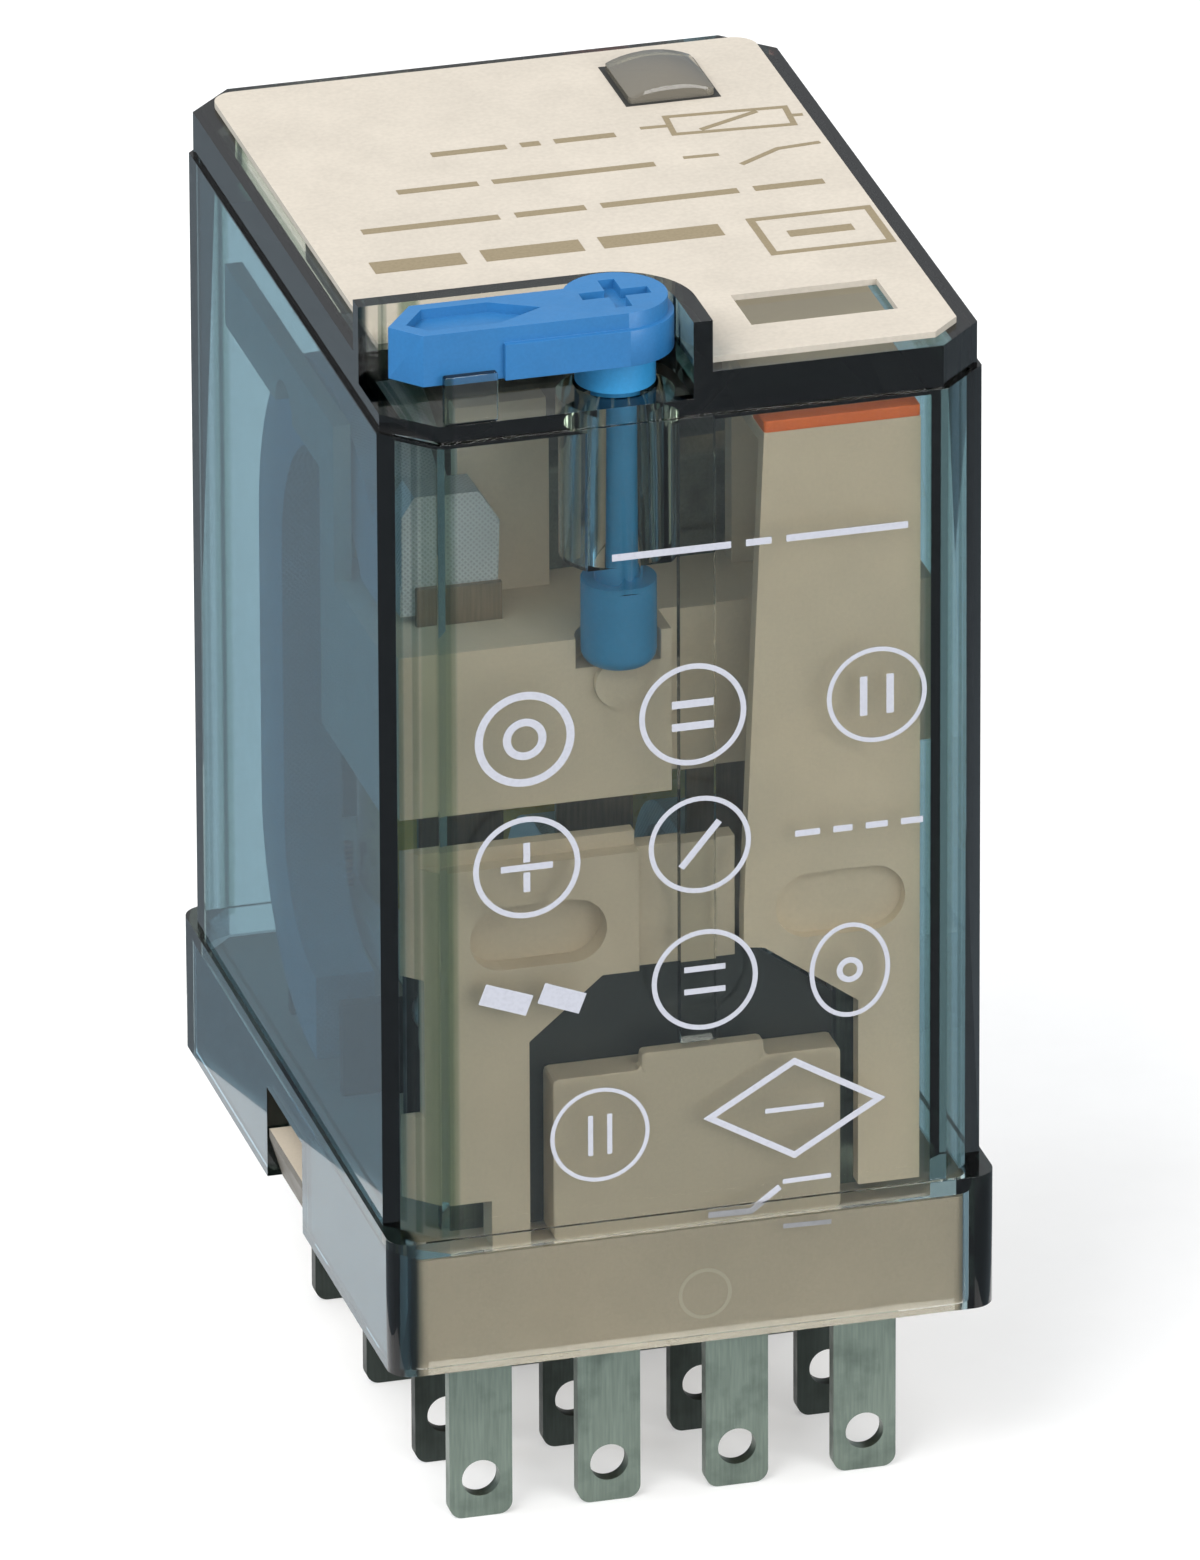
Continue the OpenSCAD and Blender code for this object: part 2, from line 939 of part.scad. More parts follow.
// Upright strip with a shelf at its top, which fills the label's window until the flag comes back.
module flag_arm() {
    color(carrier_beige)
        difference() {
            union() {
                upright(front_face, front_face + flag_thickness)
                    polygon([
                        [5.8, flag_bottom],
                        [flag_right, flag_bottom],
                        [flag_right, flag_top],
                        [flag_left, flag_top],
                        [1.9, 15],
                        [1.9, 13.7],
                        [2.6, 13.6],
                        [5.8, 11.3]
                    ]);
                translate([flag_left, front_face, flag_top - 0.5])
                    cube([flag_right - flag_left, shelf_back - front_face, 0.5]);
            }
            upright(front_face - past, front_face + 0.42)
                oval(3.0, 7.4, 13.8, 16.1);
        }
}

module flag_tip() {
    color(flag_orange)
        translate([flag_left, front_face, flag_top])
            cube([flag_right - flag_left, tip_depth, tip_height]);
}

// ---- which node is drawn ----

cover();
label_plate();
indicator_lens();
base();
latch_pip();
test_lever();
push_rod();
yoke();
core();
bobbin();
coil_winding();
winding_tape();
armature();
return_spring();
contact_carrier();
coil_lead(1);  // coil_lead_1
coil_lead(2);  // coil_lead_2
lamp();
lamp_resistor();
moving_spring(1);  // moving_spring_1
moving_spring(2);  // moving_spring_2
moving_spring(3);  // moving_spring_3
moving_spring(4);  // moving_spring_4
moving_contact(1);  // moving_contact_1
moving_contact(2);  // moving_contact_2
moving_contact(3);  // moving_contact_3
moving_contact(4);  // moving_contact_4
nc_terminal(1);  // nc_terminal_1
nc_terminal(2);  // nc_terminal_2
nc_terminal(3);  // nc_terminal_3
nc_terminal(4);  // nc_terminal_4
nc_contact(1);  // nc_contact_1
nc_contact(2);  // nc_contact_2
nc_contact(3);  // nc_contact_3
nc_contact(4);  // nc_contact_4
no_terminal(1);  // no_terminal_1
no_terminal(2);  // no_terminal_2
no_terminal(3);  // no_terminal_3
no_terminal(4);  // no_terminal_4
no_contact(1);  // no_contact_1
no_contact(2);  // no_contact_2
no_contact(3);  // no_contact_3
no_contact(4);  // no_contact_4
com_terminal(1);  // com_terminal_1
com_terminal(2);  // com_terminal_2
com_terminal(3);  // com_terminal_3
com_terminal(4);  // com_terminal_4
arch_lead(1);  // flex_lead_1
loop_lead(2);  // flex_lead_2
loop_lead(3);  // flex_lead_3
arch_lead(4);  // flex_lead_4
coil_terminal(1);  // coil_terminal_1
coil_terminal(2);  // coil_terminal_2
front_barrier();
contact_guard();
flag_arm();
flag_tip();
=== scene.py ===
"""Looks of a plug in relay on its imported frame: camera, studio, materials and fine detail."""

import math

import bmesh
import bpy
from mathutils import Matrix, Vector


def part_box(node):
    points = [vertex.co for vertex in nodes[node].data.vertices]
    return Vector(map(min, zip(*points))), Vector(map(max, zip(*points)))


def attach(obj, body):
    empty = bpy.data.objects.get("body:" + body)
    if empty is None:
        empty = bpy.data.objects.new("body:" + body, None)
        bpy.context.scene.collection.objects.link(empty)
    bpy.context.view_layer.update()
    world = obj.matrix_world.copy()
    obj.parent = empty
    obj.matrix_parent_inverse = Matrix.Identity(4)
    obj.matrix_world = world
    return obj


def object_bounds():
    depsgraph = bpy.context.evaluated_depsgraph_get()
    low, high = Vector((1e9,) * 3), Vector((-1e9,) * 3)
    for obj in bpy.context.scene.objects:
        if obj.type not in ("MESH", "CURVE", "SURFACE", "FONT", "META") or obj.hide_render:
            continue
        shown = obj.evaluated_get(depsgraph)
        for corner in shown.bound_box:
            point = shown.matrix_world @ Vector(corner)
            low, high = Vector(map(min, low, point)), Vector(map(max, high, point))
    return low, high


MM = 0.001
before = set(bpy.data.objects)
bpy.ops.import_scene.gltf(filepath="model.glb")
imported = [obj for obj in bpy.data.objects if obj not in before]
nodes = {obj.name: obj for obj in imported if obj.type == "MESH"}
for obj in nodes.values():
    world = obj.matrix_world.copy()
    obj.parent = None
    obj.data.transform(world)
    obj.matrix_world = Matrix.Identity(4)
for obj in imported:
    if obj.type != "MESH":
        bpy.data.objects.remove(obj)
cad_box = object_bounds()
POLES = (1, 2, 3, 4)

# The photograph's view: angles in degrees, distances in metres, aim offsets in millimetres
VIEW_AZIMUTH = -15.32
VIEW_ELEVATION = 24.42
VIEW_ROLL = -0.22
VIEW_DISTANCE = 0.809
TARGET_HEIGHT = 16
AIM_RIGHT = 0.558
AIM_DOWN = 1.532
LENS_LENGTH = 731.2

# Studio light: colours, watts and the card's own glow
HORIZON = (0.30, 0.34, 0.38)
ZENITH = (0.9, 0.9, 0.9)
KEY_WATTS = 4.2
FRONT_WATTS = 2.6
SIDE_WATTS = 1.2
CARD_GLOW = 0.38

# Drop of the staged sheets below the lowest point of the relay, in metres
CARD_DROP = 0.00002
TABLE_DROP = 0.0005

# Sockets of Blender's colour mix node
MIX_FACTOR, MIX_FIRST, MIX_SECOND = 0, 6, 7
MIX_RESULT = 2

# Places of the printed and added pieces, in millimetres
COVER_FRONT = -13.7
COVER_PRINT_GAP = 0.004
LABEL_PRINT_GAP = 0.003
SHELF_LEVEL = 31.84
# Front of the dark sheet that stands in for the shade behind the contact guard's opening
SHADE_SHEET_FRONT = -11.15
FRONTWARD = (0, -1, 0)
UPWARD = (0, 0, 1)

# ---------------------------------------------------------------- camera and studio


def place_camera():
    """The photograph's view: long lens, from the left of the front and above."""
    azimuth, elevation, roll = (
        math.radians(a) for a in (VIEW_AZIMUTH, VIEW_ELEVATION, VIEW_ROLL)
    )
    target = Vector((0, 0, TARGET_HEIGHT * MM))
    away = Vector((
        math.sin(azimuth) * math.cos(elevation),
        -math.cos(azimuth) * math.cos(elevation),
        math.sin(elevation),
    ))
    right = Vector((0, 0, 1)).cross(away).normalized()
    up = away.cross(right)
    right, up = (
        math.cos(roll) * right + math.sin(roll) * up,
        -math.sin(roll) * right + math.cos(roll) * up,
    )
    aim = target + AIM_RIGHT * MM * right - AIM_DOWN * MM * up
    data = bpy.data.cameras.new("camera")
    data.sensor_fit = "HORIZONTAL"
    data.sensor_width = 36
    data.lens = LENS_LENGTH
    data.clip_start = 0.05
    data.clip_end = 20
    camera = bpy.data.objects.new("camera", data)
    axes = Matrix((right, up, away)).transposed().to_4x4()
    camera.matrix_world = Matrix.Translation(aim + VIEW_DISTANCE * away) @ axes
    bpy.context.scene.collection.objects.link(camera)
    bpy.context.scene.camera = camera


def area_light(name, place, aim, size, watts, colour=(1, 1, 1)):
    data = bpy.data.lights.new(name, "AREA")
    data.shape = "RECTANGLE"
    data.size, data.size_y = size
    data.energy = watts
    data.color = colour
    lamp = bpy.data.objects.new(name, data)
    lamp.location = place
    lamp.rotation_euler = (Vector(aim) - Vector(place)).to_track_quat("-Z", "Y").to_euler()
    bpy.context.scene.collection.objects.link(lamp)


def surround():
    """World light: soft white from above, dimmer and cooler at the horizon and below it."""
    world = bpy.data.worlds.new("surround")
    world.use_nodes = True
    tree = world.node_tree
    direction = tree.nodes.new("ShaderNodeTexCoord").outputs["Generated"]
    upward = tree.nodes.new("ShaderNodeSeparateXYZ")
    tree.links.new(direction, upward.inputs["Vector"])
    height = tree.nodes.new("ShaderNodeMapRange")
    height.inputs["From Min"].default_value = 0.1
    height.inputs["From Max"].default_value = 0.75
    tree.links.new(upward.outputs["Z"], height.inputs["Value"])
    sky = tree.nodes.new("ShaderNodeMix")
    sky.data_type = "RGBA"
    sky.inputs[MIX_FIRST].default_value = (*HORIZON, 1)
    sky.inputs[MIX_SECOND].default_value = (*ZENITH, 1)
    tree.links.new(height.outputs["Result"], sky.inputs[MIX_FACTOR])
    tree.links.new(sky.outputs[MIX_RESULT], tree.nodes["Background"].inputs["Color"])
    bpy.context.scene.world = world


def sheet(name, corners, level, material):
    """A flat staged sheet squared up to the photograph's line of sight, corners in millimetres."""
    turn = Matrix.Rotation(math.radians(VIEW_AZIMUTH), 4, "Z")
    data = bpy.data.meshes.new(name)
    places = [turn @ Vector((x * MM, y * MM, level)) for x, y in corners]
    data.from_pydata(places, [], [(0, 1, 2, 3)])
    data.materials.append(material)
    piece = bpy.data.objects.new(name, data)
    bpy.context.scene.collection.objects.link(piece)


def studio():
    """White card under the relay on a blue-grey table, with three soft lights."""
    bpy.context.scene.view_settings.view_transform = "Standard"
    surround()
    area_light("key", (-0.35, -0.30, 0.55), (0, 0, 0.01), (0.40, 0.40), KEY_WATTS)
    area_light("front_fill", (0.25, -0.60, 0.25), (0, 0, 0.015), (0.40, 0.30), FRONT_WATTS)
    area_light("side_fill", (-0.60, 0.10, 0.25), (0, 0, 0.015), (0.30, 0.40), SIDE_WATTS,
               (0.86, 0.93, 1))
    level = cad_box[0][2]
    card = Shader("card")
    white = card.mix(card.noise(2), (0.58, 0.58, 0.58), (0.62, 0.62, 0.62))
    card.link(white, card.body.inputs["Base Color"])
    card.set(Roughness=0.8, Emission_Color=(1, 1, 1, 1), Emission_Strength=CARD_GLOW)
    sheet("card", [(-19.4, -22), (20.6, -22), (25, 150), (-23.6, 150)],
          level - CARD_DROP, card.material)
    sheet("table", [(-2000, -2000), (2000, -2000), (2000, 2000), (-2000, 2000)],
          level - TABLE_DROP, moulded("table_top", (0.20, 0.24, 0.27), 0.7, grain=0.02))


# ---------------------------------------------------------------- materials


class Shader:
    """A material with one Principled node, and short ways to add the nodes that feed it."""

    def __init__(self, name):
        self.material = bpy.data.materials.new(name)
        self.material.use_nodes = True
        self.tree = self.material.node_tree
        self.body = self.tree.nodes["Principled BSDF"]
        self.place = self.node("ShaderNodeTexCoord").outputs["Object"]

    def node(self, kind, **settings):
        made = self.tree.nodes.new(kind)
        for key, value in settings.items():
            setattr(made, key, value)
        return made

    def link(self, source, socket):
        self.tree.links.new(source, socket)

    def set(self, **values):
        for key, value in values.items():
            self.body.inputs[key.replace("_", " ")].default_value = value

    def stretched(self, scale):
        """Object coordinates in millimetres, stretched by a scale for each axis."""
        mapping = self.node("ShaderNodeMapping")
        mapping.inputs["Scale"].default_value = [s / MM for s in scale]
        self.link(self.place, mapping.inputs["Vector"])
        return mapping.outputs["Vector"]

    def noise(self, size, detail=3.0, stretch=(1, 1, 1)):
        """Noise from 0 to 1 with features of about size millimetres."""
        noise = self.node("ShaderNodeTexNoise")
        noise.inputs["Scale"].default_value = 1
        noise.inputs["Detail"].default_value = detail
        self.link(self.stretched([s / size for s in stretch]), noise.inputs["Vector"])
        return noise.outputs["Fac"]

    def sideways(self):
        """0 on faces that look to the front, back or up, 1 on faces that look left or right."""
        facing = self.node("ShaderNodeSeparateXYZ")
        self.link(self.node("ShaderNodeNewGeometry").outputs["Normal"], facing.inputs["Vector"])
        across = self.node("ShaderNodeMath", operation="ABSOLUTE")
        self.link(facing.outputs["X"], across.inputs[0])
        return across.outputs[0]

    def spread(self, fac, low, high, start=0.3, stop=0.7):
        """fac's middle range stretched to go from low to high."""
        spread = self.node("ShaderNodeMapRange")
        ends = {"From Min": start, "From Max": stop, "To Min": low, "To Max": high}
        for key, value in ends.items():
            spread.inputs[key].default_value = value
        self.link(fac, spread.inputs["Value"])
        return spread.outputs["Result"]

    def ramp(self, value, whole, stops):
        """Colour along a value from 0 to whole, through stops of (value, colour)."""
        part = self.node("ShaderNodeMath", operation="DIVIDE")
        self.link(value, part.inputs[0])
        part.inputs[1].default_value = whole
        ramp = self.node("ShaderNodeValToRGB")
        points = ramp.color_ramp.elements
        points.remove(points[1])
        points[0].position, points[0].color = stops[0][0] / whole, (*stops[0][1], 1)
        for place, colour in stops[1:]:
            points.new(place / whole).color = (*colour, 1)
        self.link(part.outputs[0], ramp.inputs["Fac"])
        return ramp.outputs["Color"]

    def mix(self, fac, first, second, blend="MIX"):
        """Colour mix. Each of first and second is a colour or a socket."""
        mix = self.node("ShaderNodeMix", data_type="RGBA", blend_type=blend)
        for place, value in ((MIX_FACTOR, fac), (MIX_FIRST, first), (MIX_SECOND, second)):
            socket = mix.inputs[place]
            if isinstance(value, bpy.types.NodeSocket):
                self.link(value, socket)
            elif isinstance(value, (int, float)):
                socket.default_value = value
            else:
                socket.default_value = (*value, 1)
        return mix.outputs[MIX_RESULT]

    def bump(self, height, strength, distance):
        """Adds a bump on top of any the shader has. distance is in millimetres."""
        bump = self.node("ShaderNodeBump")
        bump.inputs["Strength"].default_value = strength
        bump.inputs["Distance"].default_value = distance * MM
        self.link(height, bump.inputs["Height"])
        normal = self.body.inputs["Normal"]
        if normal.is_linked:
            self.link(normal.links[0].from_socket, bump.inputs["Normal"])
        self.link(bump.outputs["Normal"], normal)


def shade(colour, factor):
    return tuple(min(1, c * factor) for c in colour)


def moulded(name, colour, roughness, grain=0.06, speckle=0.12, side_shade=1.0):
    """Moulded plastic: fine eroded grain, faint flow clouds and uneven gloss."""
    s = Shader(name)
    flow = 2.5
    darker, lighter = shade(colour, 1 - grain), shade(colour, 1 + grain)
    clouds = s.mix(s.spread(s.noise(flow), 0, 1), darker, lighter)
    fine = s.noise(speckle, detail=2)
    tone = s.mix(s.spread(fine, 0, 1), darker, lighter)
    blend = s.mix(0.5, clouds, tone)
    # Painted shade: faces that look left or right are darkened towards side_shade times the colour
    if side_shade < 1:
        aside = s.spread(s.sideways(), 0, 1, 0.5, 0.9)
        blend = s.mix(aside, blend, shade(colour, side_shade))
    s.link(blend, s.body.inputs["Base Color"])
    gloss = s.spread(s.noise(flow / 3), roughness - 0.06, roughness + 0.08)
    s.link(gloss, s.body.inputs["Roughness"])
    s.bump(fine, 0.25, 0.012)
    return s.material


def plated(name, colour, roughness, tarnish, along=(1, 1, 0.06)):
    """Rolled and plated metal: lines along the strip, dull blotches and darker tarnish."""
    s = Shader(name)
    lines = s.noise(0.09, detail=2, stretch=along)
    blotch = s.noise(1.4, detail=5)
    metal = s.mix(s.spread(lines, 0, 1), shade(colour, 0.88), shade(colour, 1.1))
    s.link(s.mix(s.spread(blotch, 0, 0.55, 0.5, 0.75), metal, tarnish), s.body.inputs["Base Color"])
    s.link(s.spread(blotch, roughness - 0.08, roughness + 0.15), s.body.inputs["Roughness"])
    s.set(Metallic=1.0)
    s.bump(lines, 0.2, 0.006)
    return s.material


def painted_edge_bands(s):
    """Painted shade: dark upright bands near the cover's corners, standing in for the darkening
    where light goes the long way through.
    """
    place = s.node("ShaderNodeSeparateXYZ")
    s.link(s.stretched((1, 1, 1)), place.inputs["Vector"])
    outward = s.node("ShaderNodeMath", operation="ABSOLUTE")
    s.link(place.outputs["X"], outward.inputs[0])
    clear, green, line, black = (1, 1, 1), (0.40, 0.50, 0.42), (0.35, 0.42, 0.38), (0.02, 0.03, 0.03)
    body, skirt = (
        s.ramp(outward.outputs[0], 12, stops)
        for stops in (
            [(7.95, clear), (8.05, green), (8.6, green), (8.7, clear), (9.1, clear),
             (9.15, line), (9.28, line), (9.33, clear), (9.7, clear), (9.85, black)],
            [(9.3, clear), (9.55, black)],
        )
    )
    above = s.spread(place.outputs["Z"], 0, 1, 4.8, 4.9)
    return s.mix(above, skirt, body)


def clear_moulding(name, front_tint, painted_side_tint, density, clear=1.0, with_painted_bands=False):
    """Smoky clear plastic. Walls that look sideways get a painted tint of their own, standing in for
    the darker, bluer look that reflection and the long path through them give.
    """
    s = Shader(name)
    roughness = 0.02
    sideways = s.sideways()
    # Painted shade and reflection: sideways walls take the side tint
    tint = s.mix(s.spread(sideways, 0, 1, 0.8, 0.98), front_tint, painted_side_tint)
    # Painted shade: the dark corner bands are multiplied into the tint
    if with_painted_bands:
        across = s.spread(sideways, 1, 0, 0.8, 0.95)
        tint = s.mix(across, tint, painted_edge_bands(s), "MULTIPLY")
    cloudy = s.mix(s.spread(s.noise(6), 0, 0.06), tint, shade(painted_side_tint, 0.85))
    s.link(cloudy, s.body.inputs["Base Color"])
    s.link(s.spread(s.noise(3), roughness * 0.6, roughness * 1.6), s.body.inputs["Roughness"])
    s.set(Transmission_Weight=clear, IOR=1.45, Specular_IOR_Level=0.4)
    s.bump(s.noise(5, detail=1), 0.05, 0.02)
    absorb = s.node("ShaderNodeVolumeAbsorption")
    absorb.inputs["Color"].default_value = (0.54, 0.60, 0.54, 1)
    absorb.inputs["Density"].default_value = density
    out = next(n for n in s.tree.nodes if n.type == "OUTPUT_MATERIAL")
    s.link(absorb.outputs[0], out.inputs["Volume"])
    return s.material


def wound_wire(name, colour):
    """Enamelled wire in close turns round the coil, darker in the grooves between them and lighter
    on their crowns: painted shade and painted highlight.
    """
    s = Shader(name)
    wave = s.node("ShaderNodeTexWave", wave_type="BANDS", bands_direction="Z")
    wave.inputs["Scale"].default_value = 1.6
    wave.inputs["Distortion"].default_value = 0.4
    s.link(s.stretched((1, 1, 1)), wave.inputs["Vector"])
    # Painted shade in the grooves and painted highlight on the crowns of the wire
    turns = s.mix(wave.outputs["Fac"], shade(colour, 0.35), shade(colour, 1.15))
    worn = s.mix(s.spread(s.noise(1.2), 0, 0.4), turns, shade(colour, 0.7))
    s.link(worn, s.body.inputs["Base Color"])
    s.link(s.spread(s.noise(0.5), 0.25, 0.4), s.body.inputs["Roughness"])
    s.set(Metallic=0.85)
    s.bump(wave.outputs["Fac"], 0.8, 0.08)
    return s.material


def braided(name, colour):
    """Bare braid of fine strands crossing both ways, darker where they dip under each other: painted
    shade.
    """
    s = Shader(name)
    heights = []
    for slope in (1, -1):
        wave = s.node("ShaderNodeTexWave", wave_type="BANDS", bands_direction="DIAGONAL")
        wave.inputs["Scale"].default_value = 3.2
        s.link(s.stretched((slope, 1, 1)), wave.inputs["Vector"])
        heights.append(wave.outputs["Fac"])
    weave = s.node("ShaderNodeMath", operation="MAXIMUM")
    s.link(heights[0], weave.inputs[0])
    s.link(heights[1], weave.inputs[1])
    # Painted shade: the gaps between crossing strands are darker
    strands = s.mix(weave.outputs[0], shade(colour, 0.7), colour)
    worn = s.mix(s.spread(s.noise(1.5), 0, 0.3), strands, shade(colour, 0.7))
    s.link(worn, s.body.inputs["Base Color"])
    s.link(s.spread(s.noise(0.6), 0.4, 0.55), s.body.inputs["Roughness"])
    s.set(Metallic=0.35)
    s.bump(weave.outputs[0], 0.5, 0.04)
    return s.material


def ink(name, colour):
    """Printed ink: slightly broken, with thin spots."""
    s = Shader(name)
    roughness = 0.55
    thin = s.noise(0.12, detail=4)
    broken = s.mix(s.spread(thin, 0, 0.5, 0.45, 0.75), colour, shade(colour, 0.8))
    s.link(broken, s.body.inputs["Base Color"])
    s.link(s.spread(thin, roughness - 0.05, roughness + 0.1), s.body.inputs["Roughness"])
    s.bump(thin, 0.2, 0.008)
    return s.material


def finish_nodes():
    """Gives every CAD node its material."""
    beige = (0.67, 0.58, 0.46)
    steel = plated("magnet_steel", (0.20, 0.22, 0.20), 0.42, (0.10, 0.11, 0.10), along=(1, 0.06, 1))
    bronze = plated("spring_bronze", (0.30, 0.25, 0.19), 0.38, (0.18, 0.14, 0.11))
    silver = plated("contact_silver", (0.78, 0.77, 0.74), 0.25, (0.45, 0.43, 0.40), along=(1, 1, 1))
    blades = plated("terminal_plating", (0.17, 0.21, 0.18), 0.36, (0.06, 0.08, 0.07))
    # Painted shade: a darker copy of the terminal plating, for the terminals that stand in shade
    # behind the front row
    shaded_blades = plated("terminal_painted_shade", (0.05, 0.06, 0.055), 0.42, (0.03, 0.035, 0.03))
    blue = moulded("lever_blue", (0.022, 0.15, 0.36), 0.42, grain=0.08)
    rod_blue = moulded("rod_blue", (0.034, 0.28, 0.58), 0.42, grain=0.08)
    fixed = moulded("front_moulding", beige, 0.5)
    carrier = moulded("carrier_moulding", shade(beige, 1.08), 0.5)
    cover = clear_moulding("clear_cover", (0.97, 0.94, 0.89), (0.34, 0.58, 0.75), 400,
                           with_painted_bands=True)
    copper = wound_wire("winding_copper", (0.62, 0.30, 0.16))
    braid = braided("braid", (0.62, 0.68, 0.72))
    looks = {
        "cover": cover,
        "latch_pip": cover,
        "label_plate": moulded("label_plate", (0.51, 0.46, 0.39), 0.62,
                               grain=0.09, speckle=0.16),
        "indicator_lens": clear_moulding("lens_clear", (0.46, 0.42, 0.34), (0.30, 0.28, 0.22), 250,
                                         clear=0.7),
        "base": moulded("base_moulding", shade(beige, 0.84), 0.5, side_shade=0.25),
        "test_lever": blue,
        "push_rod": rod_blue,
        "bobbin": moulded("bobbin_moulding", (0.66, 0.63, 0.54), 0.45),
        "coil_winding": copper,
        "winding_tape": moulded("winding_tape", (0.55, 0.36, 0.10), 0.3),
        "return_spring": bronze,
        "contact_carrier": carrier,
        "lamp": moulded("lamp_red", (0.7, 0.12, 0.05), 0.2),
        "lamp_resistor": moulded("resistor", (0.5, 0.36, 0.2), 0.35),
        "front_barrier": fixed,
        "contact_guard": fixed,
        "flag_arm": moulded("flag_moulding", shade(beige, 1.2), 0.5),
        "flag_tip": moulded("flag_orange", (1.0, 0.19, 0.03), 0.45, grain=0.1),
    }
    for name in ("yoke", "core", "armature"):
        looks[name] = steel
    for i in (1, 2):
        looks[f"coil_lead_{i}"] = copper
        looks[f"coil_terminal_{i}"] = shaded_blades
    for i in POLES:
        looks[f"moving_spring_{i}"] = bronze
        looks[f"flex_lead_{i}"] = braid
        for kind in ("moving", "nc", "no"):
            looks[f"{kind}_contact_{i}"] = silver
        for kind in ("nc", "no", "com"):
            # Painted shade: only the nc row gets the lit plating, the rest get the darker copy
            looks[f"{kind}_terminal_{i}"] = blades if kind == "nc" else shaded_blades
    for name, node in nodes.items():
        node.data.materials.clear()
        node.data.materials.append(looks[name])


def soften_edges():
    """Small moulded or pressed radii on the edges of the CAD nodes, in millimetres."""
    radii = {
        "cover": 0.10, "label_plate": 0.08, "indicator_lens": 0.15, "base": 0.12,
        "latch_pip": 0.06, "test_lever": 0.13, "front_barrier": 0.12, "contact_guard": 0.15,
        "contact_carrier": 0.15, "flag_arm": 0.06, "flag_tip": 0.08, "bobbin": 0.1,
        "armature": 0.12, "yoke": 0.12,
    }
    for i in (1, 2):
        radii[f"coil_terminal_{i}"] = 0.06
    for i in POLES:
        for kind in ("nc", "no", "com"):
            radii[f"{kind}_terminal_{i}"] = 0.06
    for name, radius in radii.items():
        node = nodes[name]
        weld = node.modifiers.new("weld", "WELD")
        weld.merge_threshold = 0.0005 * MM
        bevel = node.modifiers.new("soft_edge", "BEVEL")
        bevel.width = radius * MM
        bevel.segments = 2
        bevel.limit_method = "ANGLE"
        bevel.angle_limit = math.radians(40)


# ---------------------------------------------------------------- flat printed shapes


def stroke(points, width, closed=False):
    """A flat line of even width through 2-D points, as (vertices, faces)."""
    sharpest = 0.4
    count = len(points)
    sides = []
    for i, point in enumerate(points):
        here = Vector(point)
        before = Vector(points[i - 1]) if closed or i else here
        after = Vector(points[(i + 1) % count]) if closed or i < count - 1 else here
        arriving, leaving = here - before, after - here
        into = arriving.normalized() if arriving.length else leaving.normalized()
        out = leaving.normalized() if leaving.length else into
        middle = (into + out).normalized()
        normal = Vector((-middle.y, middle.x))
        reach = width / 2 / max(sharpest, normal.dot(Vector((-out.y, out.x))))
        sides += [here + normal * reach, here - normal * reach]
    faces = []
    for i in range(count if closed else count - 1):
        a, b = 2 * i, 2 * ((i + 1) % count)
        faces.append((a, a + 1, b + 1, b))
    return sides, faces


def ring(centre, radius, width, squeeze=1.0):
    """A circle drawn with an even line. squeeze narrows it across."""
    steps = 48
    angles = [math.radians(360 * i / steps) for i in range(steps)]
    points = [
        (centre[0] + radius * squeeze * math.cos(a), centre[1] + radius * math.sin(a))
        for a in angles
    ]
    return stroke(points, width, closed=True)


def bar(start, stop, width):
    """A straight line of even width."""
    return stroke([start, stop], width)


def panel(outline):
    """A flat sheet inside a 2-D outline."""
    return outline, [tuple(range(len(outline)))]


def upright(y):
    """Puts 2-D millimetres on the upright plane at y metres."""
    return lambda x, z: (x * MM, y, z * MM)


def flat(z):
    """Puts 2-D millimetres on the level plane at z metres."""
    return lambda x, y: (x * MM, y * MM, z)


def label_face():
    """Height of print on the label plate, in metres."""
    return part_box("label_plate")[1][2] + LABEL_PRINT_GAP * MM


def print_on(name, shapes, place, normal, body, material, thickness=0.012):
    """One thin piece from flat shapes. place turns a 2-D point into a 3-D point in metres."""
    mesh = bmesh.new()
    for vertices, faces in shapes:
        made = [mesh.verts.new(place(*v)) for v in vertices]
        for face in faces:
            mesh.faces.new([made[i] for i in face])
    lift = Vector(normal) * thickness * MM
    extruded = bmesh.ops.extrude_face_region(mesh, geom=mesh.faces[:])
    for item in extruded["geom"]:
        if isinstance(item, bmesh.types.BMVert):
            item.co += lift
    bmesh.ops.recalc_face_normals(mesh, faces=mesh.faces[:])
    data = bpy.data.meshes.new(name)
    mesh.to_mesh(data)
    mesh.free()
    data.materials.append(material)
    piece = bpy.data.objects.new(name, data)
    bpy.context.scene.collection.objects.link(piece)
    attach(piece, body)


def words(left, right, height, level, gaps, width):
    """A line of print as plain dashes. gaps are the shares of the line where a dash ends."""
    shapes = []
    edges = [0, *gaps, 1]
    for start, stop in zip(edges, edges[1:]):
        a = left + (right - left) * start + height * 0.25
        b = left + (right - left) * stop - height * 0.25
        shapes.append(bar((a, level), (b, level), width))
    return shapes


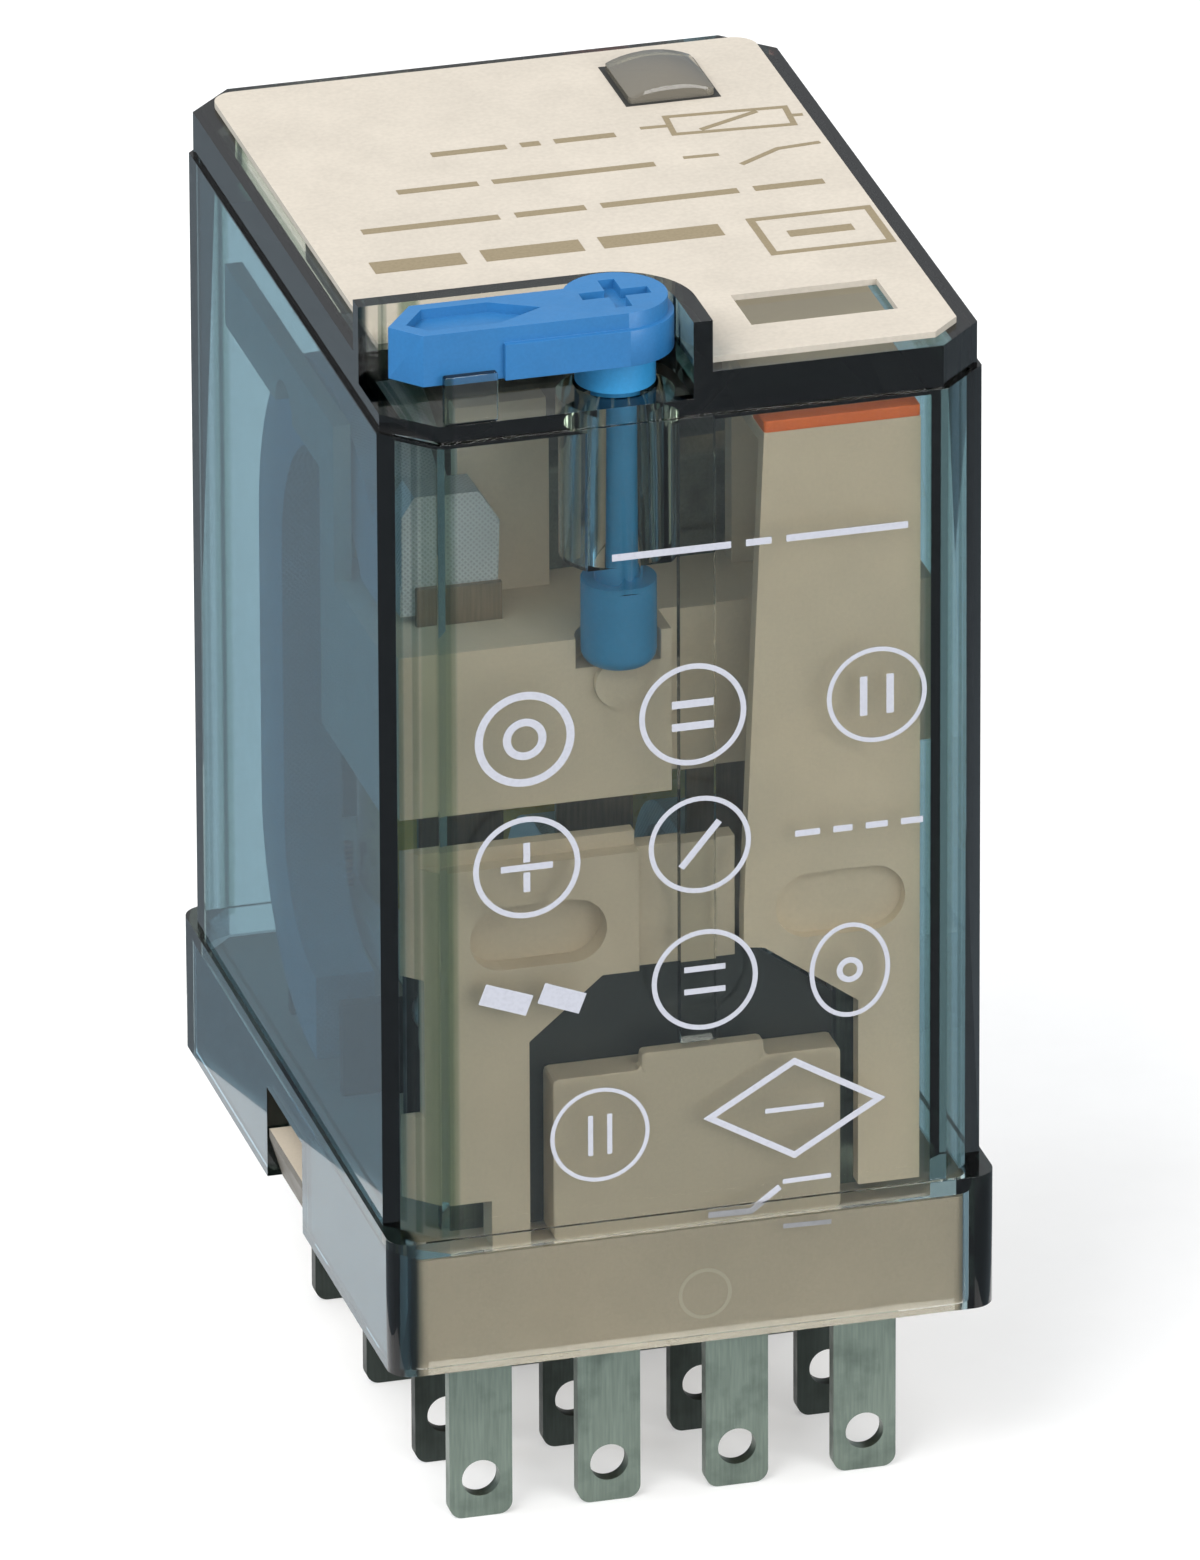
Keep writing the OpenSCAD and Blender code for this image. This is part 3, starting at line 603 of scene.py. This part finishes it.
def cover_prints():
    """Plain white marks on the front of the cover, X and Z in millimetres."""
    face = COVER_FRONT - COVER_PRINT_GAP
    shapes = [
        ring((-5.72, 22.47), 1.55, 0.27),
        ring((-5.72, 22.47), 0.60, 0.27),
        ring((-0.04, 22.66), 1.72, 0.19),
        bar((-0.75, 23.05), (0.67, 23.05), 0.27),
        bar((-0.75, 22.25), (0.67, 22.25), 0.27),
        ring((6.20, 22.61), 1.62, 0.16),
        bar((5.75, 21.9), (5.75, 23.3), 0.25),
        bar((6.65, 21.9), (6.65, 23.3), 0.25),
        ring((-5.67, 17.88), 1.72, 0.19),
        bar((-6.55, 17.88), (-4.79, 17.88), 0.23),
        bar((-5.67, 17.0), (-5.67, 17.7), 0.23),
        bar((-5.67, 18.06), (-5.67, 18.76), 0.23),
        ring((0.19, 17.97), 1.65, 0.17),
        bar((-0.45, 17.2), (0.85, 18.75), 0.23),
        ring((5.29, 12.82), 1.62, 0.16, squeeze=0.8),
        ring((5.29, 12.82), 0.35, 0.2),
        ring((0.35, 13.09), 1.72, 0.17),
        bar((-0.35, 13.5), (1.05, 13.5), 0.2),
        bar((-0.35, 12.7), (1.05, 12.7), 0.2),
        bar((-7.2, 13.5), (-5.6, 12.9), 0.75),
        bar((-5.2, 13.3), (-3.8, 12.75), 0.75),
        ring((-3.23, 7.93), 1.62, 0.14),
        bar((-3.55, 7.2), (-3.55, 8.65), 0.17),
        bar((-2.9, 7.2), (-2.9, 8.65), 0.17),
        stroke([(0.5, 8.05), (3.4, 9.75), (6.3, 8.05), (3.4, 6.35)], 0.22, closed=True),
        bar((2.4, 8.05), (4.4, 8.05), 0.17),
        stroke([(0.44, 4.55), (1.9, 4.52), (2.9, 5.25)], 0.22),
        bar((3.0, 5.42), (4.65, 5.45), 0.17),
        bar((3.0, 3.82), (4.65, 3.78), 0.17),
    ]
    shapes += words(-3.0, 7.5, 1.0, 28.55, (0.43, 0.56), 0.24)
    shapes += words(3.2, 8.0, 0.9, 17.95, (0.27, 0.5, 0.75), 0.22)
    print_on("cover_prints", shapes, upright(face * MM), FRONTWARD,
             "housing", ink("white_ink", (0.50, 0.50, 0.55)))


def label_prints():
    """Coil and contact symbols, and dashes for print, on the label. X and Y in millimetres."""
    shapes = [
        stroke([(4.65, 5.25), (4.75, 6.75), (8.8, 6.5), (8.7, 5.0)], 0.20, closed=True),
        bar((3.7, 6.05), (4.6, 6.0), 0.20),
        bar((8.85, 5.75), (9.2, 5.72), 0.20),
        bar((5.6, 5.4), (7.8, 6.4), 0.20),
        stroke([(9.1, 3.3), (7.6, 3.15), (6.1, 2.2)], 0.20),
        bar((5.6, 3.2), (4.4, 3.25), 0.20),
        stroke([(5.1, -5.3), (5.1, -2.4), (9.1, -2.4), (9.1, -5.3)], 0.26, closed=True),
        bar((6.0, -3.85), (8.2, -3.85), 0.5),
    ]
    shapes += words(-3.8, 3.0, 1.0, 5.75, (0.45, 0.62), 0.36)
    shapes += words(-5.7, 3.6, 1.0, 3.0, (0.35,), 0.36)
    shapes += words(-7.7, 8.6, 1.1, 0.1, (0.32, 0.5, 0.82), 0.40)
    shapes += words(-8.2, 4.3, 1.3, -2.9, (0.3, 0.62), 0.95)
    print_on("label_prints", shapes, flat(label_face()), UPWARD,
             "housing", ink("brown_ink", (0.25, 0.20, 0.12)))


def lens_gap():
    """Painted shade: a dark strip round the foot of the lens, standing in for the shadowed gap where
    it comes up through the label. In metres.
    """
    (left, front, _), (right, back, _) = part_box("indicator_lens")
    top = label_face()
    out = 0.06 * MM
    gap = 0.2 * MM
    corners = [
        (left - out, front - out), (right + out, front - out),
        (right + out, back + out), (left - out, back + out),
    ]
    print_on("lens_gap", [stroke(corners, gap, closed=True)], lambda x, y: (x, y, top), UPWARD,
             "housing", ink("painted_gap_shade", (0.02, 0.02, 0.018)))


def base_ring():
    """Faint round witness mark on the front of the base."""
    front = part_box("base")[0][1] - 0.002 * MM
    print_on("base_witness", [ring((0.45, 1.5), 0.85, 0.12)], upright(front), FRONTWARD,
             "housing", bpy.data.materials["base_moulding"], thickness=0.02)


def window_shelf():
    """Back part of the flag's shelf, with a notch, seen through the label's window. It glows a
    little: painted light, standing in for light that reaches it through the window.
    """
    outline = [
        (3.0, -8.0), (3.0, -4.6), (3.3, -4.3), (4.9, -4.3), (5.1, -4.6),
        (5.7, -4.6), (5.9, -4.3), (8.1, -4.3), (8.4, -4.6), (8.4, -8.0),
    ]
    tab = moulded("window_tab_painted_glow", (0.60, 0.52, 0.40), 0.5)
    # Painted light: the tab glows though nothing in it is a lamp
    glow = tab.node_tree.nodes["Principled BSDF"].inputs
    glow["Emission Color"].default_value = (0.48, 0.40, 0.30, 1)
    glow["Emission Strength"].default_value = 0.9
    print_on("flag_shelf", [panel(outline)], flat(SHELF_LEVEL * MM), UPWARD,
             "flag", tab, thickness=0.14)


def guard_shade_sheet():
    """Dark sheet behind the opening over the contact guard: painted shade for the dark inside of the
    opening.
    """
    outline = [(-5.6, 4.0), (-5.6, 11.4), (-3.1, 13.7), (2.2, 13.4), (5.3, 11.1), (5.3, 4.0)]
    print_on("guard_shade_sheet", [panel(outline)], upright(SHADE_SHEET_FRONT * MM), FRONTWARD,
             "housing", moulded("painted_shade_sheet", (0.02, 0.025, 0.025), 0.4), thickness=0.1)


place_camera()
finish_nodes()
soften_edges()
studio()
cover_prints()
label_prints()
lens_gap()
base_ring()
guard_shade_sheet()
window_shelf()
